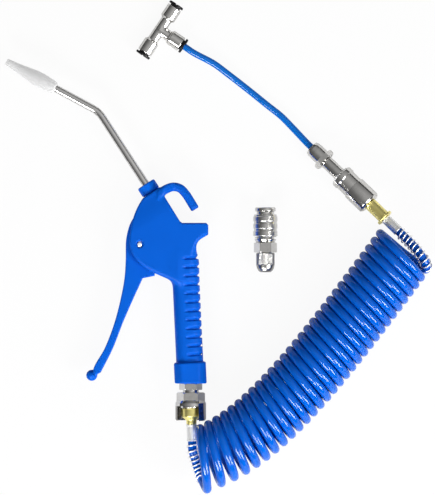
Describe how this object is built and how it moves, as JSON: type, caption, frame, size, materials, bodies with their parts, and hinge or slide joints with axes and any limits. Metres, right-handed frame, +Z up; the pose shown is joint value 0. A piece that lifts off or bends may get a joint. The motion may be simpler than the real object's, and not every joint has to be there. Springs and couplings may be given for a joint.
{
  "type": "coiled air hose set",
  "caption": "Coiled blue air hose with spring guards and quick couplers, joined to a blow gun with a bent nozzle, a short tube to a push-in tee, and a loose spare coupler.",
  "frame": {"origin": "middle of the set's bounding box, on the table that it lies on", "axes": "+Z up from the table, +Y along the longest side of the layout, from the coil's lower end to the tee; +X from the nozzle to the coil's upper end"},
  "size_m": [0.3844, 0.4432, 0.0608],
  "materials": {
    "blue_moulding": "satin injection moulded nylon",
    "hose_plastic": "glossy, slightly translucent polyurethane",
    "tip_plastic": "milky moulded plastic",
    "collet_plastic": "black acetal",
    "rubber": "black nitrile rubber",
    "nickel": "bright nickel plate",
    "steel": "zinc plated steel",
    "brass": "turned brass"
  },
  "bodies": {
    "set": {"gun_housing": "blue_moulding", "trigger_pin": "steel", "valve_gland": "brass", "stem_seal": "rubber", "valve_seat": "brass", "valve_spring": "steel", "nozzle_nut": "blue_moulding", "nozzle_seal": "rubber", "nozzle_tube": "steel", "nozzle_tip": "tip_plastic", "inlet_nipple": "nickel", "gun_coupler_body": "nickel", "gun_coupler_seal": "rubber", "gun_coupler_spring": "steel", "gun_hose_tail": "brass", "gun_ferrule": "steel", "coiled_hose": "hose_plastic", "gun_hose_guard": "steel", "supply_hose_guard": "steel", "supply_ferrule": "steel", "supply_hose_tail": "brass", "supply_coupler_body": "nickel", "supply_coupler_spring": "steel", "supply_coupler_clip": "steel", "supply_coupler_seal": "rubber", "supply_check_poppet": "brass", "supply_check_spring": "steel", "supply_plug": "nickel", "compression_nut": "nickel", "compression_olive": "brass", "straight_tube": "hose_plastic", "tee_body": "nickel", "tee_seal_upper": "rubber", "tee_seal_lower": "rubber", "tee_seal_branch": "rubber", "spare_coupler_body": "nickel", "spare_coupler_spring": "steel", "spare_check_spring": "steel", "spare_hose_nut": "nickel"},
    "trigger": {"trigger_lever": "blue_moulding"},
    "valve": {"valve_stem": "brass", "valve_washer": "rubber"},
    "gun_sleeve": {"gun_coupler_sleeve": "nickel"},
    "supply_sleeve": {"supply_coupler_sleeve": "nickel"},
    "spare_sleeve": {"spare_coupler_sleeve": "nickel"},
    "spare_poppet": {"spare_check_poppet": "brass"},
    "upper_collet": {"tee_collet_upper": "collet_plastic"},
    "lower_collet": {"tee_collet_lower": "collet_plastic"},
    "branch_collet": {"tee_collet_branch": "collet_plastic"}
  },
  "joints": [
    {"name": "trigger_pivot", "type": "hinge", "parent": "set", "child": "trigger", "pos_m": [-0.07036, 0.0017, 0.015], "axis": [0, 0, 1], "range_deg": [0, 14], "stiffness_Nm_per_rad": 1.2, "springref_deg": -20.05},
    {"name": "valve_stroke", "type": "slide", "parent": "set", "child": "valve", "axis": [0.8059, 0.592, 0], "range_m": [0, 0.0045], "deforming": ["valve_spring"]},
    {"name": "gun_sleeve_slide", "type": "slide", "parent": "set", "child": "gun_sleeve", "axis": [0, -1, 0], "range_m": [0, 0.003], "stiffness_N_per_m": 2500, "springref_m": -0.0024, "deforming": ["gun_coupler_spring"]},
    {"name": "supply_sleeve_slide", "type": "slide", "parent": "set", "child": "supply_sleeve", "axis": [0.706, -0.6866, 0.1736], "range_m": [0, 0.004], "stiffness_N_per_m": 2500, "springref_m": -0.0032, "deforming": ["supply_coupler_spring"]},
    {"name": "spare_sleeve_slide", "type": "slide", "parent": "set", "child": "spare_sleeve", "axis": [0, -1, 0], "range_m": [0, 0.002], "stiffness_N_per_m": 2500, "springref_m": -0.0032, "deforming": ["spare_coupler_spring"]},
    {"name": "spare_poppet_slide", "type": "slide", "parent": "set", "child": "spare_poppet", "axis": [0, -1, 0], "range_m": [0, 0.003], "stiffness_N_per_m": 600, "springref_m": -0.00333, "deforming": ["spare_check_spring"]},
    {"name": "upper_collet_slide", "type": "slide", "parent": "set", "child": "upper_collet", "axis": [-0.5592, -0.829, 0], "range_m": [0, 0.0012], "stiffness_N_per_m": 1500, "springref_m": -0.001},
    {"name": "lower_collet_slide", "type": "slide", "parent": "set", "child": "lower_collet", "axis": [0.5592, 0.829, 0], "range_m": [0, 0.0012], "stiffness_N_per_m": 1500, "springref_m": -0.001},
    {"name": "branch_collet_slide", "type": "slide", "parent": "set", "child": "branch_collet", "axis": [-0.829, 0.5592, 0], "range_m": [0, 0.0012], "stiffness_N_per_m": 1500, "springref_m": -0.001}
  ],
  "couplings": [
    {"joint": "valve_stroke", "follows": "trigger_pivot", "m_per_rad": 0.018}
  ]
}
